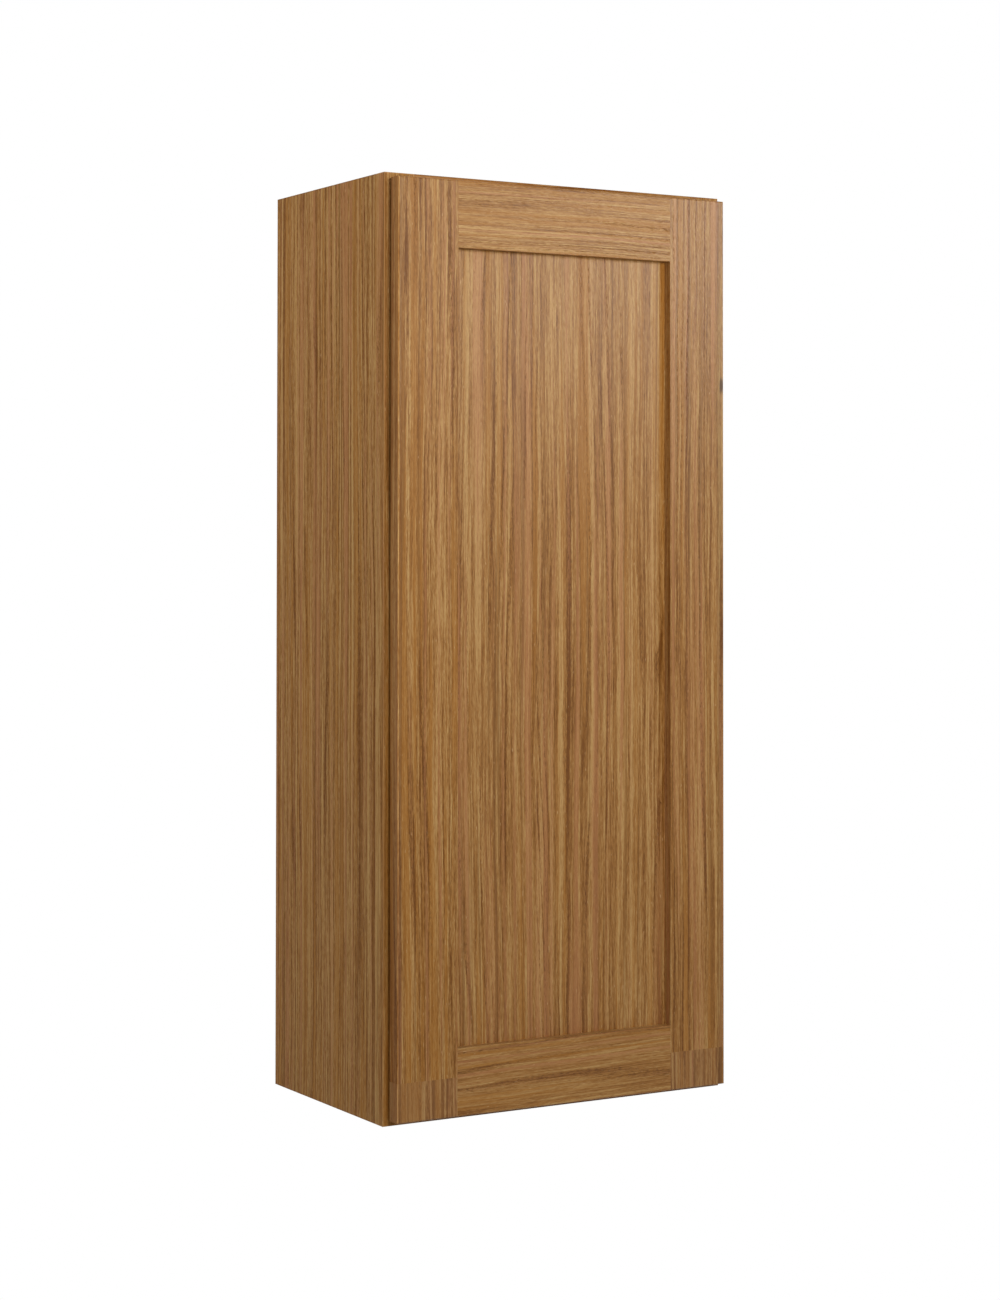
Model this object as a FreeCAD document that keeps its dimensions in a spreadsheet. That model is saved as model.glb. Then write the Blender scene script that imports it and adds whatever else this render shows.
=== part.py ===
import FreeCAD, Part
import math
import os
import re
import Sketcher

# Wall cabinet: a carcass with a face frame, one overlay door on concealed hinges, three loose shelves.
# X runs to the right, Y into the wall and Z up. The origin lies on the wall, midway between the
# four screws that hold the cabinet. A formula below uses the words of this list.
SIZES = {
    # Carcass
    "cabinet_width": 450.0,
    "cabinet_height": 1067.0,
    "carcass_depth": 285.0,
    "side_thickness": 12.7,
    "deck_thickness": 12.7,
    "back_thickness": 6.0,
    "hanging_rail_thickness": 12.7,
    "hanging_rail_height": 90.0,
    "housing_depth": 6.0,
    "housing_end_gap": 0.3,
    "fit_clearance": 0.1,
    # Wall screws
    "wall_screw_hole": 5.0,
    "wall_screw_spacing": 300.0,
    "wall_screw_inset": 63.5,
    # Face frame
    "frame_width": 38.0,
    "frame_thickness": 19.0,
    "tongue_length": 6.0,
    "tongue_thickness": 6.35,
    "dowel_diameter": 8.0,
    "dowel_length": 40.0,
    "dowel_spread": 18.0,
    "dowel_end_gap": 0.5,
    # Shelves and their pins
    "shelf_thickness": 16.0,
    "shelf_front_gap": 20.3,
    "shelf_back_gap": 2.0,
    "shelf_side_gap": 1.5,
    "shelf_spacing": 256.0,
    "shelf_easing": 1.5,
    "peg_diameter": 5.0,
    "peg_hole_depth": 9.5,
    "peg_end_gap": 0.5,
    "peg_hole_pitch": 32.0,
    "peg_inset": 37.0,
    "peg_collar_diameter": 9.0,
    "peg_collar_thickness": 1.0,
    "spoon_length": 11.0,
    "spoon_width": 9.0,
    "spoon_thickness": 1.5,
    "spoon_rounding": 3.0,
    # Door
    "door_reveal": 6.35,
    "door_gap": 2.5,
    "door_thickness": 20.0,
    "door_frame_width": 76.2,
    "panel_recess": 12.0,
    "door_panel_thickness": 5.0,
    "panel_groove_depth": 10.0,
    "panel_float": 1.0,
    "tenon_end_gap": 0.3,
    "front_easing": 1.5,
    "back_easing": 2.0,
    "bumper_diameter": 10.0,
    "bumper_inset": 13.0,
    "bumper_clearance": 0.3,
    "bumper_rounding": 1.2,
    # Hinges
    "hinge_inset": 100.0,
    "pivot_edge_distance": 8.5,
    "pivot_depth": 9.5,
    "pivot_diameter": 3.0,
    "running_clearance": 0.05,
    "cup_diameter": 35.0,
    "cup_depth": 13.3,
    "cup_wall": 1.0,
    "cup_edge_distance": 3.0,
    "cup_screw_spread": 45.0,
    "cup_screw_offset": 9.5,
    "flange_thickness": 1.2,
    "flange_width": 2.0,
    "flange_trim": 10.8,
    "wing_width": 13.0,
    "wing_rounding": 5.0,
    "ear_gap": 0.3,
    "ear_thickness": 3.0,
    "ear_radius": 3.0,
    "arm_thickness": 2.4,
    "arm_width": 10.0,
    "arm_bend": 2.5,
    "arm_base_width": 16.0,
    "arm_base_length": 13.0,
    "arm_end_gap": 3.0,
    "eye_radius": 2.5,
    "plate_thickness": 1.8,
    "plate_height": 48.0,
    "plate_margin": 2.0,
    "plate_rounding": 4.0,
    "plate_screw_spread": 34.0,
    # Screws
    "shank_diameter": 3.0,
    "head_diameter": 6.5,
    "head_height": 1.6,
    "low_head_height": 0.8,
    "plate_screw_length": 16.0,
    "cup_screw_length": 12.0,
    "arm_screw_length": 8.0,
}

# Places that several pieces share
HALF_WIDTH = "(cabinet_width / 2)"
HALF_HEIGHT = "(cabinet_height / 2)"
INNER_HALF = "(cabinet_width / 2 - side_thickness)"
HOUSED_HALF = f"({INNER_HALF} + housing_depth - housing_end_gap)"
FRAME_FRONT = "(-carcass_depth)"
FRAME_BACK = "(frame_thickness - carcass_depth)"
FRAME_MIDDLE = "(frame_thickness / 2 - carcass_depth)"
BACK_FRONT = "(-hanging_rail_thickness - back_thickness)"
OPENING_HALF = "(cabinet_width / 2 - frame_width)"
SHELF_BACK = f"({BACK_FRONT} - shelf_back_gap)"
SHELF_FRONT = f"({FRAME_BACK} + shelf_front_gap)"
PEG_COLUMNS = (f"({SHELF_FRONT} + peg_inset)", f"({SHELF_BACK} - peg_inset)")
PEG_LENGTH = "(peg_hole_depth - peg_end_gap)"
SPOON_TOP = "(peg_diameter / 2)"
DOOR_HALF_WIDTH = "(cabinet_width / 2 - door_reveal)"
DOOR_HALF_HEIGHT = "(cabinet_height / 2 - door_reveal)"
DOOR_BACK = "(-carcass_depth - door_gap)"
DOOR_FRONT = f"({DOOR_BACK} - door_thickness)"
DOOR_RAIL_HALF = f"({DOOR_HALF_WIDTH} - door_frame_width)"
GROOVE_FRONT = "(panel_recess - fit_clearance)"
GROOVE_BACK = "(panel_recess + door_panel_thickness + fit_clearance)"
PIVOT_X = f"({DOOR_HALF_WIDTH} - pivot_edge_distance)"
PIVOT_Y = f"({DOOR_BACK} - pivot_depth)"
CUP_RADIUS = "(cup_diameter / 2)"
CUP_INSIDE = "(cup_diameter / 2 - cup_wall)"
CUP_SETBACK = "(cup_edge_distance + cup_diameter / 2)"
CUP_X = f"({DOOR_HALF_WIDTH} - {CUP_SETBACK})"
PIVOT_FROM_CUP = f"({CUP_SETBACK} - pivot_edge_distance)"
PIVOT_BORE = "(pivot_diameter / 2 + running_clearance)"
EAR_INSIDE = "(arm_width / 2 + ear_gap)"
EAR_OUTSIDE = f"({EAR_INSIDE} + ear_thickness)"
ARM_SCREW_Y = f"({FRAME_BACK} - arm_end_gap - arm_base_length / 2)"
SHANK_BORE = "(shank_diameter / 2 + fit_clearance)"
DOWEL_BORE = "(dowel_diameter / 2 + fit_clearance)"
PEG_BORE = "(peg_diameter / 2 + fit_clearance)"

HINGES = {
    "upper": f"({DOOR_HALF_HEIGHT} - hinge_inset)",
    "middle": "0",
    "lower": f"(hinge_inset - {DOOR_HALF_HEIGHT})",
}
SHELVES = {"upper": "shelf_spacing", "middle": "0", "lower": "(-shelf_spacing)"}
SIDES = {"left": "-1", "right": "1"}
PEG_HOLES_PER_GROUP = 5

PLANES = {"x": "YZ_Plane", "y": "XZ_Plane", "z": "XY_Plane"}
SMALL = 1e-6
NEAR = 1e-4

doc = FreeCAD.newDocument("wall_cabinet")
subparts = []


# The sheet of driving sizes

def make_sheet():
    sheet = doc.addObject("Spreadsheet::Sheet", "sizes")
    for row, (word, size) in enumerate(SIZES.items(), start=1):
        sheet.set(f"A{row}", word)
        sheet.set(f"B{row}", str(size))
        sheet.setAlias(f"B{row}", word)
    doc.recompute()


def bind(item, place, formula):
    """Tie a property to a formula written in the words of the sheet."""
    words = re.sub(r"[a-z_]+", lambda word: f"sizes.{word[0]}" if word[0] in SIZES else word[0], formula)
    item.setExpression(place, words)


def move_to(item, place):
    for letter, formula in zip("xyz", place):
        bind(item, f"Placement.Base.{letter}", formula)


# Bodies, sketches and features

def new_body(label, place=("0", "0", "0")):
    body = doc.addObject("PartDesign::Body", label)
    body.Label = label
    move_to(body, place)
    return body


def origin_part(body, role):
    return next(part for part in body.Origin.OriginFeatures if part.Role == role)


def sketch_across(body, axis, level):
    """Open a sketch square to an axis of the body, at a level along that axis."""
    sketch = body.newObject("Sketcher::SketchObject", f"{body.Name}_sketch")
    sketch.AttachmentSupport = [(origin_part(body, PLANES[axis]), "")]
    sketch.MapMode = "FlatFace"
    bind(sketch, "AttachmentOffset.Base.z", f"-({level})" if axis == "y" else level)
    return sketch


def pin_point(sketch, geometry, point, place, formulas):
    """Hold a point of the sketch at two formulas, measured from the sketch's origin."""
    for kind, formula, start in zip(("DistanceX", "DistanceY"), formulas, place):
        index = sketch.addConstraint(Sketcher.Constraint(kind, -1, 1, geometry, point, start))
        bind(sketch, f"Constraints[{index}]", formula)


def draw_outline(sketch, corners):
    count = len(corners)
    turns = [2 * math.pi * index / count for index in range(count)]
    starts = [FreeCAD.Vector(math.cos(turn), math.sin(turn), 0) for turn in turns]
    for index in range(count):
        sketch.addGeometry(Part.LineSegment(starts[index], starts[(index + 1) % count]))
    for index in range(count):
        sketch.addConstraint(Sketcher.Constraint("Coincident", index, 2, (index + 1) % count, 1))
    for index, corner in enumerate(corners):
        pin_point(sketch, index, 1, starts[index], corner)


def draw_circle(sketch, centre, radius):
    start = FreeCAD.Vector(1, 1, 0)
    geometry = sketch.addGeometry(Part.Circle(start, FreeCAD.Vector(0, 0, 1), 1))
    pin_point(sketch, geometry, 3, start, centre)
    index = sketch.addConstraint(Sketcher.Constraint("Radius", geometry, 1))
    bind(sketch, f"Constraints[{index}]", radius)


def pairs_about(middles, spread):
    """Give two formulas for each middle, half the spread above it and half below."""
    return [f"{middle} {sign} {spread} / 2" for middle in middles for sign in "+-"]


def rectangle(first, second):
    """Give the corners of a rectangle from its two spans."""
    return [(first[0], second[0]), (first[1], second[0]), (first[1], second[1]), (first[0], second[1])]


def pad(body, sketch, axis, length):
    """Grow the sketch along the axis, towards its positive end."""
    feature = body.newObject("PartDesign::Pad", f"{body.Name}_pad")
    feature.Profile = sketch
    feature.Reversed = axis == "y"
    bind(feature, "Length", length)
    doc.recompute()
    return feature


def cut(body, sketch, axis, depth, forward):
    """Cut the sketch into the body along the axis, forward or backward, and see that it removed wood."""
    before = body.Shape.Volume
    feature = body.newObject("PartDesign::Pocket", f"{body.Name}_cut")
    feature.Profile = sketch
    feature.Reversed = (axis == "y") != forward
    bind(feature, "Length", depth)
    doc.recompute()
    if body.Shape.Volume > before - SMALL:
        raise RuntimeError(f"A cut in {body.Label} removed nothing")
    return feature


def block(label, place, xs, ys, zs):
    """Make a squared board from its spans along the three axes."""
    body = new_body(label, place)
    add_block(body, xs, ys, zs)
    subparts.append(body)
    return body


def add_block(body, xs, ys, zs):
    sketch = sketch_across(body, "z", zs[0])
    draw_outline(sketch, rectangle(xs, ys))
    pad(body, sketch, "z", f"{zs[1]} - ({zs[0]})")


def notch(body, xs, ys, zs):
    sketch = sketch_across(body, "z", zs[1])
    draw_outline(sketch, rectangle(xs, ys))
    cut(body, sketch, "z", f"{zs[1]} - ({zs[0]})", forward=False)


def add_round(body, axis, level, centre, radius, length):
    sketch = sketch_across(body, axis, level)
    draw_circle(sketch, centre, radius)
    pad(body, sketch, axis, length)


def bore(body, axis, level, centres, radius, depth, forward):
    """Drill equal holes along an axis, from a level."""
    sketch = sketch_across(body, axis, level)
    for centre in centres:
        draw_circle(sketch, centre, radius)
    return cut(body, sketch, axis, depth, forward)


def repeat(body, feature, axis, length, count):
    pattern = body.newObject("PartDesign::LinearPattern", f"{body.Name}_row")
    pattern.Originals = [feature]
    pattern.Direction = (origin_part(body, f"{axis.upper()}_Axis"), [""])
    bind(pattern, "Length", length)
    pattern.Occurrences = count
    body.Tip = pattern
    doc.recompute()


def round_edges(body, radius, chosen, kind="Fillet"):
    """Round or chamfer the edges of the body's last feature for which chosen(edge) holds."""
    tip = body.Tip
    names = [f"Edge{number}" for number, edge in enumerate(tip.Shape.Edges, start=1) if chosen(edge)]
    feature = body.newObject(f"PartDesign::{kind}", f"{body.Name}_{kind.lower()}")
    feature.Base = (tip, names)
    bind(feature, "Radius" if kind == "Fillet" else "Size", radius)
    doc.recompute()


def lies_at(edge, axis, level):
    """Tell whether both ends of an edge lie at a level along an axis."""
    low = getattr(edge.BoundBox, f"{axis.upper()}Min")
    high = getattr(edge.BoundBox, f"{axis.upper()}Max")
    return abs(low - level) < NEAR and abs(high - level) < NEAR


def span(body, axis):
    """Give the body's reach along an axis, measured from its own origin."""
    box = body.Tip.Shape.BoundBox
    return getattr(box, f"{axis.upper()}Min"), getattr(box, f"{axis.upper()}Max")


def group(label, master, places):
    """Set copies of one small piece in their places, as one node of separate solids.

    A place is three formulas and, where the copy is turned about Z, its angle.
    """
    copies = []
    for x, y, z, *turn in places:
        copy = doc.addObject("App::Link", f"{label}_copy")
        copy.LinkedObject = master
        rotation = FreeCAD.Rotation(FreeCAD.Vector(0, 0, 1), *(turn or [0.0]))
        copy.Placement = FreeCAD.Placement(FreeCAD.Vector(), rotation)
        move_to(copy, (x, y, z))
        copies.append(copy)
    gathered = doc.addObject("Part::Compound", label)
    gathered.Label = label
    gathered.Links = copies
    subparts.append(gathered)


# Carcass

def side_panel(side):
    """A side with a tongue in front, housings for the decks and the back, and rows of peg holes."""
    def inward(formula):
        return f"-({SIDES[side]}) * ({formula})"

    place = (f"{SIDES[side]} * {HALF_WIDTH}", "0", f"-{HALF_HEIGHT}")
    height = ("0", "cabinet_height")
    tongue_front = f"({FRAME_BACK} - tongue_length)"
    panel = block(f"{side}_side_panel", place, ("0", inward("side_thickness")), (tongue_front, "0"), height)
    notch(panel, ("0", inward("side_thickness - tongue_thickness")), (tongue_front, FRAME_BACK), height)
    housing = (inward("side_thickness - housing_depth"), inward("side_thickness"))
    groove = (f"({BACK_FRONT} - fit_clearance)", "(fit_clearance - hanging_rail_thickness)")
    notch(panel, housing, groove, height)
    for level in ("(frame_width - deck_thickness)", "(cabinet_height - frame_width)"):
        deck = (f"({level} - fit_clearance)", f"({level} + deck_thickness + fit_clearance)")
        notch(panel, housing, (FRAME_BACK, groove[0]), deck)
    reach = f"({PEG_HOLES_PER_GROUP - 1} * peg_hole_pitch)"
    for level in SHELVES.values():
        lowest = f"({HALF_HEIGHT} + {level} - {reach} / 2)"
        centres = [(column, lowest) for column in PEG_COLUMNS]
        outward = side == "right"
        first = bore(panel, "x", inward("side_thickness"), centres, PEG_BORE, "peg_hole_depth", outward)
        repeat(panel, first, "z", reach, PEG_HOLES_PER_GROUP)


def carcass_boards():
    across = (f"-{HOUSED_HALF}", HOUSED_HALF)
    between = (f"-{INNER_HALF}", INNER_HALF)
    screw_columns = ("wall_screw_spacing / 2", "-wall_screw_spacing / 2")
    back = block("back_panel", ("0", "0", f"-{HALF_HEIGHT}"), across,
                 (BACK_FRONT, "(-hanging_rail_thickness)"), ("0", "cabinet_height"))
    screw_rows = ("wall_screw_inset", "cabinet_height - wall_screw_inset")
    centres = [(column, row) for column in screw_columns for row in screw_rows]
    bore(back, "y", BACK_FRONT, centres, "wall_screw_hole / 2", "back_thickness", forward=True)

    rails = {
        "upper": (f"{HALF_HEIGHT} - hanging_rail_height", "hanging_rail_height - wall_screw_inset"),
        "lower": (f"-{HALF_HEIGHT}", "wall_screw_inset"),
    }
    for name, (foot, row) in rails.items():
        rail = block(f"{name}_hanging_rail", ("0", "0", foot), between,
                     ("(-hanging_rail_thickness)", "0"), ("0", "hanging_rail_height"))
        centres = [(column, row) for column in screw_columns]
        bore(rail, "y", "(-hanging_rail_thickness)", centres, "wall_screw_hole / 2",
             "hanging_rail_thickness", forward=True)

    decks = {
        "top_panel": f"{HALF_HEIGHT} - frame_width",
        "bottom_panel": f"frame_width - deck_thickness - {HALF_HEIGHT}",
    }
    for label, foot in decks.items():
        block(label, ("0", "0", foot), across, (FRAME_BACK, BACK_FRONT), ("0", "deck_thickness"))


# Face frame

def dowel_rows(middle):
    return [(FRAME_MIDDLE, row) for row in pairs_about([middle], "dowel_spread")]


def frame_stile(side):
    def inward(formula):
        return f"-({SIDES[side]}) * ({formula})"

    place = (f"{SIDES[side]} * {HALF_WIDTH}", "0", f"-{HALF_HEIGHT}")
    height = ("0", "cabinet_height")
    edge = inward("frame_width")
    stile = block(f"frame_{side}_stile", place, ("0", edge), (FRAME_FRONT, FRAME_BACK), height)
    groove = (
        inward("side_thickness - tongue_thickness - fit_clearance"),
        inward("side_thickness + fit_clearance"),
    )
    notch(stile, groove, (f"{FRAME_BACK} - tongue_length - fit_clearance", FRAME_BACK), height)
    outward = side == "right"
    centres = dowel_rows("frame_width / 2") + dowel_rows("cabinet_height - frame_width / 2")
    bore(stile, "x", edge, centres, DOWEL_BORE, "dowel_length / 2 + dowel_end_gap", outward)
    if side == "right":
        heights = [f"{HALF_HEIGHT} + {level}" for level in HINGES.values()]
        pilots = [(ARM_SCREW_Y, row) for row in pairs_about(heights, "plate_screw_spread")]
        bore(stile, "x", edge, pilots, SHANK_BORE, "plate_screw_length", outward)
        seats = [(ARM_SCREW_Y, level) for level in heights]
        bore(stile, "x", edge, seats, SHANK_BORE, "arm_screw_length", outward)


def frame_rails():
    for label, foot in {"top": f"{HALF_HEIGHT} - frame_width", "bottom": f"-{HALF_HEIGHT}"}.items():
        rail = block(f"frame_{label}_rail", ("0", "0", foot), (f"-{OPENING_HALF}", OPENING_HALF),
                     (FRAME_FRONT, FRAME_BACK), ("0", "frame_width"))
        for end, inwards in ((f"-{OPENING_HALF}", True), (OPENING_HALF, False)):
            bore(rail, "x", end, dowel_rows("frame_width / 2"), DOWEL_BORE,
                 "dowel_length / 2 + dowel_end_gap", inwards)


def frame_dowels():
    dowel = new_body("dowel")
    add_round(dowel, "x", "-dowel_length / 2", ("0", "0"), "dowel_diameter / 2", "dowel_length")
    places = []
    for side in SIDES.values():
        for end in SIDES.values():
            for row in SIDES.values():
                level = f"{end} * ({HALF_HEIGHT} - frame_width / 2) + {row} * dowel_spread / 2"
                places.append((f"{side} * {OPENING_HALF}", FRAME_MIDDLE, level))
    group("frame_dowels", dowel, places)


# Shelves

def shelf_pin():
    """A peg with a collar and a flat spoon under the shelf; it points along X from the side panel."""
    pin = new_body("shelf_pin")
    add_round(pin, "x", f"-{PEG_LENGTH}", ("0", "0"), "peg_diameter / 2", PEG_LENGTH)
    add_round(pin, "x", "0", ("0", "0"), "peg_collar_diameter / 2", "peg_collar_thickness")
    add_block(pin, ("0", "spoon_length"), ("-spoon_width / 2", "spoon_width / 2"),
              (f"{SPOON_TOP} - spoon_thickness", SPOON_TOP))
    end = span(pin, "x")[1]
    round_edges(pin, "spoon_rounding", lambda edge: lies_at(edge, "x", end) and edge.BoundBox.YLength < NEAR)
    return pin


def shelves():
    pin = shelf_pin()
    for name, level in SHELVES.items():
        reach = f"({INNER_HALF} - shelf_side_gap)"
        shelf = block(f"{name}_shelf", ("0", "0", f"{level} + {SPOON_TOP}"), (f"-{reach}", reach),
                      (SHELF_FRONT, SHELF_BACK), ("0", "shelf_thickness"))
        front = span(shelf, "y")[0]
        round_edges(shelf, "shelf_easing", lambda edge: lies_at(edge, "y", front)
                    and edge.BoundBox.ZLength < NEAR)
        places = []
        for column in PEG_COLUMNS:
            places.append((f"-{INNER_HALF}", column, level, 0.0))
            places.append((INNER_HALF, column, level, 180.0))
        group(f"{name}_shelf_pins", pin, places)


# Door

def door_stile(side):
    """A grooved upright of the door; the hinge side is bored for the cups and their screws."""
    def inward(formula):
        return f"-({SIDES[side]}) * ({formula})"

    place = (f"{SIDES[side]} * {DOOR_HALF_WIDTH}", DOOR_FRONT, f"-{DOOR_HALF_HEIGHT}")
    stile = new_body(f"door_{side}_stile", place)
    inner = inward("door_frame_width")
    groove_floor = inward("door_frame_width - panel_groove_depth")
    profile = [
        ("0", "0"),
        (inner, "0"),
        (inner, GROOVE_FRONT),
        (groove_floor, GROOVE_FRONT),
        (groove_floor, GROOVE_BACK),
        (inner, GROOVE_BACK),
        (inner, "door_thickness"),
        (inward("back_easing"), "door_thickness"),
        ("0", "door_thickness - back_easing"),
    ]
    sketch = sketch_across(stile, "z", "0")
    draw_outline(sketch, profile)
    pad(stile, sketch, "z", f"2 * {DOOR_HALF_HEIGHT}")
    top = span(stile, "z")[1]
    outer = [edge for edge in stile.Tip.Shape.Edges if lies_at(edge, "x", 0.0) and lies_at(edge, "y", 0.0)]
    ends = [edge for edge in stile.Tip.Shape.Edges if lies_at(edge, "y", 0.0)
            and (lies_at(edge, "z", 0.0) or lies_at(edge, "z", top))]
    round_edges(stile, "front_easing", lambda edge: any(edge.isSame(other) for other in outer + ends))
    if side == "right":
        heights = [f"{DOOR_HALF_HEIGHT} + {level}" for level in HINGES.values()]
        cups = [(inward(CUP_SETBACK), level) for level in heights]
        bore(stile, "y", "door_thickness", cups, f"{CUP_RADIUS} + fit_clearance",
             "cup_depth + fit_clearance", forward=False)
        column = inward(f"{CUP_SETBACK} + cup_screw_offset")
        pilots = [(column, row) for row in pairs_about(heights, "cup_screw_spread")]
        bore(stile, "y", "door_thickness", pilots, SHANK_BORE, "cup_screw_length", forward=False)
    subparts.append(stile)


def door_rail(label, outward):
    """A grooved cross-piece of the door with a stub tenon at each end; outward is -1 below and 1 above."""
    def height(formula):
        return f"-({outward}) * ({formula})"

    rail = new_body(f"door_{label}_rail", ("0", DOOR_FRONT, f"{outward} * {DOOR_HALF_HEIGHT}"))
    inner = height("door_frame_width")
    groove_floor = height("door_frame_width - panel_groove_depth")
    profile = [
        ("0", "0"),
        ("0", inner),
        (GROOVE_FRONT, inner),
        (GROOVE_FRONT, groove_floor),
        (GROOVE_BACK, groove_floor),
        (GROOVE_BACK, inner),
        ("door_thickness", inner),
        ("door_thickness", "0"),
    ]
    sketch = sketch_across(rail, "x", f"-{DOOR_RAIL_HALF}")
    draw_outline(sketch, profile)
    pad(rail, sketch, "x", f"2 * {DOOR_RAIL_HALF}")
    round_edges(rail, "front_easing", lambda edge: lies_at(edge, "y", 0.0) and lies_at(edge, "z", 0.0))
    reach = f"({DOOR_RAIL_HALF} + panel_groove_depth - tenon_end_gap)"
    tenon = rectangle(("panel_recess", "panel_recess + door_panel_thickness"), ("0", groove_floor))
    sketch = sketch_across(rail, "x", f"-{reach}")
    draw_outline(sketch, tenon)
    pad(rail, sketch, "x", f"2 * {reach}")
    subparts.append(rail)


def door_panel():
    half_width = f"({DOOR_RAIL_HALF} + panel_groove_depth - panel_float)"
    half_height = f"({DOOR_HALF_HEIGHT} - door_frame_width + panel_groove_depth - panel_float)"
    block("door_panel", ("0", DOOR_FRONT, "0"), (f"-{half_width}", half_width),
          ("panel_recess", "(panel_recess + door_panel_thickness)"), (f"-{half_height}", half_height))


def door_bumpers():
    """Two soft buttons on the door's back, at the corners of its free edge."""
    bumper = new_body("bumper")
    add_round(bumper, "y", "0", ("0", "0"), "bumper_diameter / 2", "door_gap - bumper_clearance")
    tip = span(bumper, "y")[1]
    round_edges(bumper, "bumper_rounding", lambda edge: lies_at(edge, "y", tip))
    column = f"bumper_inset - {DOOR_HALF_WIDTH}"
    rows = (f"{DOOR_HALF_HEIGHT} - bumper_inset", f"bumper_inset - {DOOR_HALF_HEIGHT}")
    group("door_bumpers", bumper, [(column, DOOR_BACK, row) for row in rows])


# Hinges

def hinge_cup(name, level):
    """A turned cup with a flange trimmed beside the door's edge, two wings and two ears for the pin."""
    cup = new_body(f"{name}_hinge_cup", (CUP_X, DOOR_BACK, level))
    floor = "(cup_wall - cup_depth)"
    sketch = sketch_across(cup, "z", "0")
    draw_outline(sketch, [
        ("0", "-cup_depth"),
        (CUP_RADIUS, "-cup_depth"),
        (CUP_RADIUS, "0"),
        (CUP_INSIDE, "0"),
        (CUP_INSIDE, floor),
        ("0", floor),
    ])
    shell = cup.newObject("PartDesign::Revolution", f"{cup.Name}_shell")
    shell.Profile = sketch
    shell.ReferenceAxis = (sketch, ["V_Axis"])
    shell.Angle = 360.0
    doc.recompute()

    add_round(cup, "y", "0", ("0", "0"), f"{CUP_RADIUS} + flange_width", "flange_thickness")
    reach = "(cup_screw_spread / 2 + wing_width / 2)"
    wing = ("-cup_screw_offset - wing_width / 2", "wing_width / 2 - cup_screw_offset")
    add_block(cup, wing, ("0", "flange_thickness"), (f"-{reach}", reach))
    tips = span(cup, "z")
    round_edges(cup, "wing_rounding", lambda edge: edge.BoundBox.XLength < NEAR
                and any(lies_at(edge, "z", tip) for tip in tips))
    notch(cup, ("flange_trim", CUP_RADIUS + " + 2 * flange_width"), ("0", "flange_thickness"),
          (f"-{CUP_RADIUS}", CUP_RADIUS))
    bore(cup, "y", "flange_thickness", [("0", "0")], CUP_INSIDE, "flange_thickness", forward=False)
    screws = [("-cup_screw_offset", row) for row in pairs_about(["0"], "cup_screw_spread")]
    bore(cup, "y", "flange_thickness", screws, SHANK_BORE, "flange_thickness", forward=False)

    ear = (f"{PIVOT_FROM_CUP} - ear_radius", f"{PIVOT_FROM_CUP} + ear_radius")
    for low, high in ((EAR_INSIDE, EAR_OUTSIDE), (f"-{EAR_OUTSIDE}", f"-{EAR_INSIDE}")):
        add_block(cup, ear, (floor, "(ear_radius - pivot_depth)"), (low, high))
    pivot = [(PIVOT_FROM_CUP, "-pivot_depth")]
    bore(cup, "z", EAR_OUTSIDE, pivot, PIVOT_BORE, f"2 * {EAR_OUTSIDE}", forward=False)
    subparts.append(cup)


def hinge_pin(name, level):
    pin = new_body(f"{name}_hinge_pin", (PIVOT_X, PIVOT_Y, level))
    add_round(pin, "z", f"-{EAR_OUTSIDE}", ("0", "0"), "pivot_diameter / 2", f"2 * {EAR_OUTSIDE}")
    subparts.append(pin)


def hinge_arm(name, level):
    """A swan-neck arm: a base on the mounting plate, a bend into the cup and an eye round the pin."""
    arm = new_body(f"{name}_hinge_arm", (PIVOT_X, PIVOT_Y, level))
    outer = f"({OPENING_HALF} - plate_thickness - {PIVOT_X})"
    inner = f"({outer} - arm_thickness)"
    tail = f"({FRAME_BACK} - arm_end_gap - {PIVOT_Y})"
    half = "(arm_thickness / 2)"
    sketch = sketch_across(arm, "z", "-arm_width / 2")
    draw_outline(sketch, [
        ("0", f"-{half}"),
        (inner, f"-{half}"),
        (inner, tail),
        (outer, tail),
        (outer, half),
        ("0", half),
    ])
    pad(arm, sketch, "z", "arm_width")
    nose = span(arm, "y")[0]
    left = span(arm, "x")[0]
    right = left - 2 * nose
    for bend, x, y in (("arm_bend + arm_thickness", left, nose), ("arm_bend", right, -nose)):
        round_edges(arm, bend, lambda edge: lies_at(edge, "x", x) and lies_at(edge, "y", y))
    add_round(arm, "z", "-arm_width / 2", ("0", "0"), "eye_radius", "arm_width")
    base = ("-arm_base_width / 2", "arm_base_width / 2")
    add_block(arm, (inner, outer), (f"{tail} - arm_base_length", tail), base)
    bore(arm, "z", "arm_width / 2", [("0", "0")], PIVOT_BORE, "arm_width", forward=False)
    seat = f"{ARM_SCREW_Y} - {PIVOT_Y}"
    bore(arm, "x", inner, [(seat, "0")], SHANK_BORE, "arm_thickness", forward=True)
    subparts.append(arm)


def hinge_plate(name, level):
    plate = block(f"{name}_hinge_plate", (OPENING_HALF, "0", level), ("-plate_thickness", "0"),
                  (f"{FRAME_FRONT} + plate_margin", f"{FRAME_BACK} - plate_margin"),
                  ("-plate_height / 2", "plate_height / 2"))
    round_edges(plate, "plate_rounding", lambda edge: edge.BoundBox.YLength < NEAR
                and edge.BoundBox.ZLength < NEAR)
    rows = ["0"] + pairs_about(["0"], "plate_screw_spread")
    bore(plate, "x", "-plate_thickness", [(ARM_SCREW_Y, row) for row in rows], SHANK_BORE,
         "plate_thickness", forward=True)


def screw(name, axis, length, head_height, forward):
    """A screw whose head seats on the origin; forward says which way its shank points."""
    fastener = new_body(name)
    shank = ("0", length) if forward else (f"-{length}", length)
    head = (f"-{head_height}", head_height) if forward else ("0", head_height)
    add_round(fastener, axis, shank[0], ("0", "0"), "shank_diameter / 2", shank[1])
    add_round(fastener, axis, head[0], ("0", "0"), "head_diameter / 2", head[1])
    return fastener


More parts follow.
